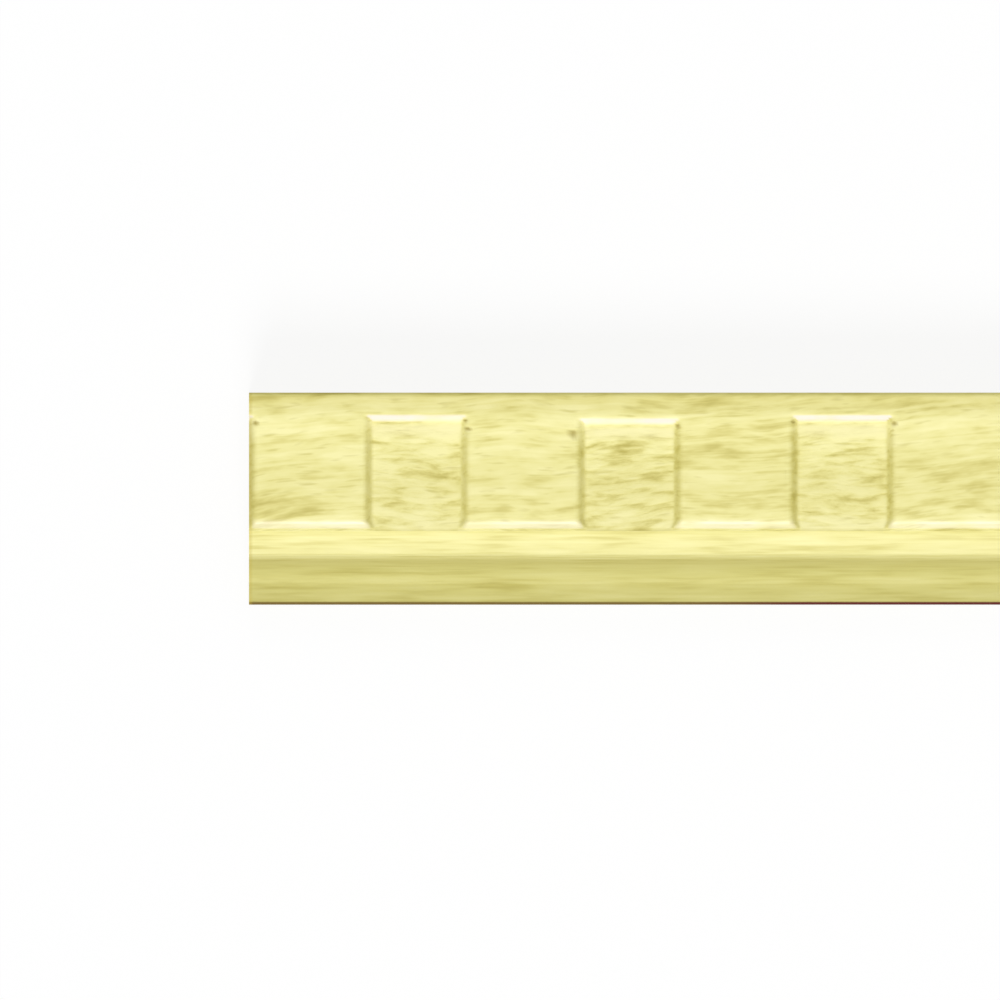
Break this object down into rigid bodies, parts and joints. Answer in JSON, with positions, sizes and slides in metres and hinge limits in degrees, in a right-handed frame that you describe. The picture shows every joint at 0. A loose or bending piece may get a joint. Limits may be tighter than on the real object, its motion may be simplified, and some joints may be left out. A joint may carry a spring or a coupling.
{
  "type": "dentil moulding",
  "caption": "Straight length of wood dentil moulding: square pockets leave a row of flat teeth under a top band, above two coves and a listel, with a flat back.",
  "frame": {"origin": "middle of the flat back, on the surface that it lies on", "axes": "+X along the stock, +Y towards the moulding's top edge, +Z out of the moulded face, which faces up as it lies on its back"},
  "size_m": [1.2192, 0.0254, 0.0124],
  "materials": {
    "wood": "satin"
  },
  "bodies": {
    "root": {"dentil_moulding": "wood"}
  },
  "joints": []
}
